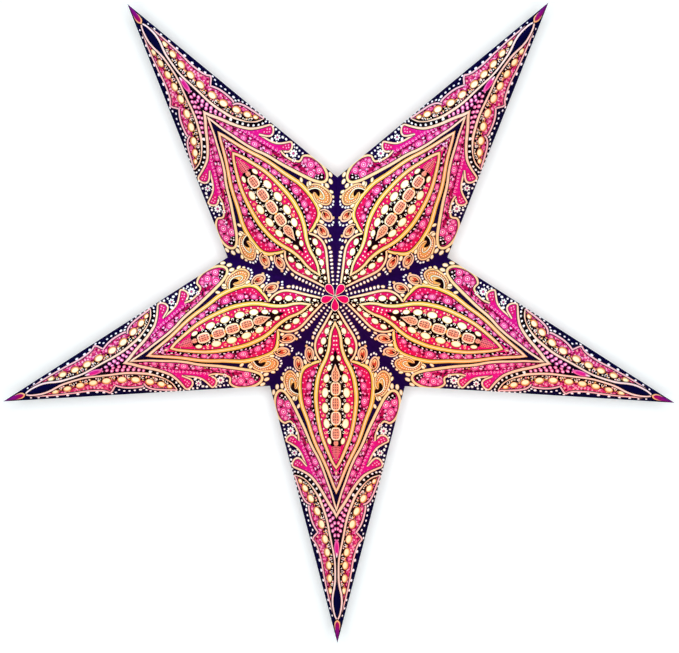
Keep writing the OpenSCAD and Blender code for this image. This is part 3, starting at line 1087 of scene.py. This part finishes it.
def printed_faces(node):
    """The four printed faces of an upright point, each as (points, triangles, inks, places in the print)."""
    faces = []
    for side in (-1, 1):
        for facing in (-1, 1):
            beside_hole = facing == 1 and (node, side) in SEAM_SIDES
            flat, cells, inks = holed_print if beside_hole else half_print
            order = (0, 1, 2) if side * facing < 0 else (0, 2, 1)
            faces.append((on_face(flat, side, facing), cells[:, order], inks, flat / TIP))
    return faces


def plain_faces(node, angle):
    """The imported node's faces apart from its four printed ones, in the same form."""
    mesh = frame["nodes"][node].data
    mesh.calc_loop_triangles()
    upright = turned(np.array([v.co[:] for v in mesh.vertices]), -angle)
    cells = np.array([t.vertices[:] for t in mesh.loop_triangles])
    x, y, z = upright.T
    shares = np.abs(x) / SIDE_REACH + np.abs(y) / POLE_HEIGHT + z / TIP_RADIUS
    cells = cells[~np.all(np.abs(shares[cells] - 1) < ON_FACE, axis=1)]
    return upright, cells, np.full(len(cells), INKS.index("plain_paper")), upright[:, (0, 2)] / TIP_RADIUS


inside = plain_faces("bottom_point", POINT_TURNS["bottom_point"] * HALF_PITCH)
print("plain triangles taken over from the bottom point:", len(inside[1]))

# %% Join the faces into one mesh
WELD = 2e-6


def sheet_mesh(name, parts, angle):
    """All faces of one sheet as a welded mesh, turned to the point's place."""
    starts = np.cumsum([0] + [len(part[0]) for part in parts])
    points = np.concatenate([part[0] for part in parts])
    triangles = np.concatenate([part[1] + start for part, start in zip(parts, starts)])
    inks = np.concatenate([part[2] for part in parts])
    prints = np.concatenate([part[3] for part in parts])
    mesh = bpy.data.meshes.new(name)
    mesh.from_pydata(turned(points, angle).tolist(), [], triangles.tolist())
    for ink in INKS:
        mesh.materials.append(ink_materials[ink])
    mesh.polygons.foreach_set("material_index", inks.astype(np.int32))
    uv = mesh.uv_layers.new(name="print")
    uv.data.foreach_set("uv", prints[triangles.ravel()].astype(np.float32).ravel())
    mesh.validate()
    weld = bmesh.new()
    weld.from_mesh(mesh)
    bmesh.ops.remove_doubles(weld, verts=weld.verts[:], dist=WELD)
    weld.to_mesh(mesh)
    weld.free()
    return mesh


print(f"points within {WELD * 1000:.3f} mm are welded")

# %% Fold the five sheets
def fold_sheet(node, turns):
    """One point of the star: printed outside, plain inside."""
    angle = turns * HALF_PITCH
    mesh = sheet_mesh(node + "_sheet", printed_faces(node) + [plain_faces(node, angle)], angle)
    sheet = bpy.data.objects.new(node + "_sheet", mesh)
    bpy.context.scene.collection.objects.link(sheet)
    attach(sheet, "root")
    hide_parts(node)
    return sheet


sheets = [fold_sheet(node, turns) for node, turns in POINT_TURNS.items()]
print("sheets:", [(sheet.name, len(sheet.data.polygons)) for sheet in sheets])

# %% [markdown]
# ## Wall and floor
#
# The photograph has a white ground with a soft shadow close around the star. A white world alone would
# show no shadow, so a pale wall just behind the star catches it. To the camera the wall glows a little,
# which makes it white without more light on the paper. Seen from behind, the wall lets the view through,
# so the back can be looked at too. A white floor lies far below the star, for views from other sides.

# %% Make the white ground
def joined(tree, operation, first, second):
    """The result of a math node that takes two sockets."""
    node = tree.nodes.new("ShaderNodeMath")
    node.operation = operation
    tree.links.new(first, node.inputs[0])
    tree.links.new(second, node.inputs[1])
    return node.outputs["Value"]


def white_ground(name, colour, glow, spread=0.0):
    """A white surface that shows shadows; to the camera it glows, more so away from its middle."""
    material = bpy.data.materials.new(name)
    material.use_nodes = True
    tree = material.node_tree
    tree.nodes.clear()
    link = tree.links.new
    matte = tree.nodes.new("ShaderNodeBsdfDiffuse")
    matte.inputs["Color"].default_value = colour
    place = tree.nodes.new("ShaderNodeTexCoord")
    away = tree.nodes.new("ShaderNodeVectorMath")
    away.operation = "DOT_PRODUCT"
    link(place.outputs["Object"], away.inputs[0])
    link(place.outputs["Object"], away.inputs[1])
    rise = tree.nodes.new("ShaderNodeMath")
    rise.operation = "MULTIPLY_ADD"
    rise.inputs[1].default_value = spread
    rise.inputs[2].default_value = glow
    link(away.outputs["Value"], rise.inputs[0])
    path = tree.nodes.new("ShaderNodeLightPath")
    lift = tree.nodes.new("ShaderNodeEmission")
    lift.inputs["Color"].default_value = (1, 1, 1, 1)
    strength = joined(tree, "MULTIPLY", path.outputs["Is Camera Ray"], rise.outputs["Value"])
    link(strength, lift.inputs["Strength"])
    both = tree.nodes.new("ShaderNodeAddShader")
    link(matte.outputs["BSDF"], both.inputs[0])
    link(lift.outputs["Emission"], both.inputs[1])
    out = tree.nodes.new("ShaderNodeOutputMaterial")
    link(both.outputs["Shader"], out.inputs["Surface"])
    return material


wall_white = white_ground("wall_white", colour=(0.835, 0.91, 0.935, 1), glow=0.15, spread=0.9)
floor_white = white_ground("floor_white", colour=(0.8, 0.8, 0.8, 1), glow=0.66)
print("white grounds:", wall_white.name, "and", floor_white.name)

# %% Let the view from behind through the wall
def open_from_behind(material):
    """Lets lamplight and any view from behind through the surface."""
    tree = material.node_tree
    link = tree.links.new
    surface = tree.nodes["Material Output"].inputs["Surface"]
    shown = surface.links[0].from_socket
    side = tree.nodes.new("ShaderNodeNewGeometry")
    path = tree.nodes.new("ShaderNodeLightPath")
    clear = tree.nodes.new("ShaderNodeBsdfTransparent")
    mix = tree.nodes.new("ShaderNodeMixShader")
    opened = joined(tree, "MAXIMUM", side.outputs["Backfacing"], path.outputs["Is Shadow Ray"])
    link(opened, mix.inputs["Fac"])
    link(shown, mix.inputs[1])
    link(clear.outputs["BSDF"], mix.inputs[2])
    link(mix.outputs["Shader"], surface)


open_from_behind(wall_white)
print("see-through from behind:", wall_white.name)

# %% Put up the wall and the floor
WALL_GAP = 0.03
STAGE_REACH = 4.0
FLOOR_DROP = 1.4


def stage_plane(name, corners, material):
    """A flat rectangle that isn't part of the object."""
    mesh = bpy.data.meshes.new(name)
    mesh.from_pydata(corners, [], [(0, 1, 2, 3)])
    mesh.materials.append(material)
    plane = bpy.data.objects.new(name, mesh)
    bpy.context.scene.collection.objects.link(plane)


wall_y = POLE_HEIGHT + WALL_GAP
floor_z = -TIP_RADIUS - FLOOR_DROP
left, right = -STAGE_REACH, STAGE_REACH
stage_plane("wall", [(left, wall_y, floor_z), (right, wall_y, floor_z), (right, wall_y, STAGE_REACH),
                     (left, wall_y, STAGE_REACH)], wall_white)
stage_plane("floor", [(left, -STAGE_REACH, floor_z), (right, -STAGE_REACH, floor_z),
                      (right, STAGE_REACH, floor_z), (left, STAGE_REACH, floor_z)], floor_white)
print(f"wall {WALL_GAP * 1000:.0f} mm behind the star, floor {FLOOR_DROP * 1000:.0f} mm below it")

# %% [markdown]
# ## Lamps
#
# A lamp close to the camera lights the star evenly and throws the soft shadow. In the photograph the
# upper faces look a little cooler and the lower ones a little warmer. Two colours per ink could show
# that, but then the tint would stay when the star is turned. So two tinted lamps give it, and they light
# the paper alone, which keeps the wall white and its shadow grey. The last lamp stands behind the star
# and lights its back.

# %% Hang the lamps
def soft_lamp(name, place, size, power, colour):
    """A round lamp that faces the star's middle and isn't seen itself."""
    data = bpy.data.lights.new(name, "AREA")
    data.shape = "DISK"
    data.size = size
    data.energy = power
    data.color = colour
    lamp = bpy.data.objects.new(name, data)
    lamp.location = place
    lamp.rotation_euler = (-Vector(place)).to_track_quat("-Z", "Y").to_euler()
    lamp.visible_camera = False
    bpy.context.scene.collection.objects.link(lamp)
    return lamp


# Each lamp's name, place, diameter, watts and colour
front_lamp = soft_lamp("front_lamp", (0.027, -1.30, 0.038), 0.26, 17.6, (1.0, 0.99, 0.985))
cool_lamp = soft_lamp("cool_lamp", (-0.41, -1.05, 1.25), 1.2, 15.2, (0.54, 0.8, 1.0))
warm_lamp = soft_lamp("warm_lamp", (0.41, -1.05, -1.25), 1.2, 9.4, (1.0, 0.3, 0.06))
back_lamp = soft_lamp("back_lamp", (0.4, 2.2, 0.9), 1.6, 26, (1.0, 1.0, 1.0))

tinted_paper = bpy.data.collections.new("tinted_paper")
for sheet in sheets:
    tinted_paper.objects.link(sheet)
for lamp in (cool_lamp, warm_lamp):
    lamp.light_linking.receiver_collection = tinted_paper
lamps = (front_lamp, cool_lamp, warm_lamp, back_lamp)
print("watts:", {lamp.name: round(lamp.data.energy, 1) for lamp in lamps})

# %% [markdown]
# ## The white room
#
# The world gives only a little light, so that the lamps shape the folds. The camera still has to see
# white around the star, so the Light Path node makes the world white where a ray comes straight from
# the camera, or by way of a glossy or clear surface.

# %% Paint the room white
ROOM_LIGHT = 0.08
ROOM_SEEN = 1.0
world = bpy.data.worlds.new("white_room")
world.use_nodes = True
tree = world.node_tree
room = tree.nodes["Background"]
room.inputs["Color"].default_value = (1, 1, 1, 1)
path = tree.nodes.new("ShaderNodeLightPath")
seen = path.outputs["Is Camera Ray"]
for ray in ("Is Transmission Ray", "Is Glossy Ray"):
    seen = joined(tree, "MAXIMUM", seen, path.outputs[ray])
level = tree.nodes.new("ShaderNodeMapRange")
level.inputs["To Min"].default_value = ROOM_LIGHT
level.inputs["To Max"].default_value = ROOM_SEEN
tree.links.new(seen, level.inputs["Value"])
tree.links.new(level.outputs["Result"], room.inputs["Strength"])
bpy.context.scene.world = world
bpy.context.scene.view_settings.view_transform = "Standard"
print(f"the room lights the star at {ROOM_LIGHT}, and the camera sees it at {ROOM_SEEN}")

# %% [markdown]
# ## The camera
#
# The corners of the outline were fitted with a plain pinhole camera: it stands a little above and to
# the right of the star, about four tip radii away, and looks slightly down. A camera without perspective
# would be simpler, but the photograph shows the nearer middle of the star a little enlarged, and only
# perspective gives that. The photograph is 679 by 653 pixels.

# %% Place the camera
PHOTO_WIDTH_PX = 679
FOCAL_PX = 1418.4
CAMERA_PLACE = (0.0260, -CAMERA_TO_MIDDLE, 0.0370)
TILT_DOWN = math.radians(3.033)
TURN_LEFT = math.radians(1.095)

camera_data = bpy.data.cameras.new("photo_camera")
camera_data.sensor_fit = "HORIZONTAL"
camera_data.angle = 2 * math.atan(PHOTO_WIDTH_PX / 2 / FOCAL_PX)
camera = bpy.data.objects.new("photo_camera", camera_data)
camera.location = CAMERA_PLACE
camera.rotation_euler = (math.pi / 2 - TILT_DOWN, 0, TURN_LEFT)
bpy.context.scene.collection.objects.link(camera)
bpy.context.scene.camera = camera
print(f"field of view {math.degrees(camera_data.angle):.2f} degrees")
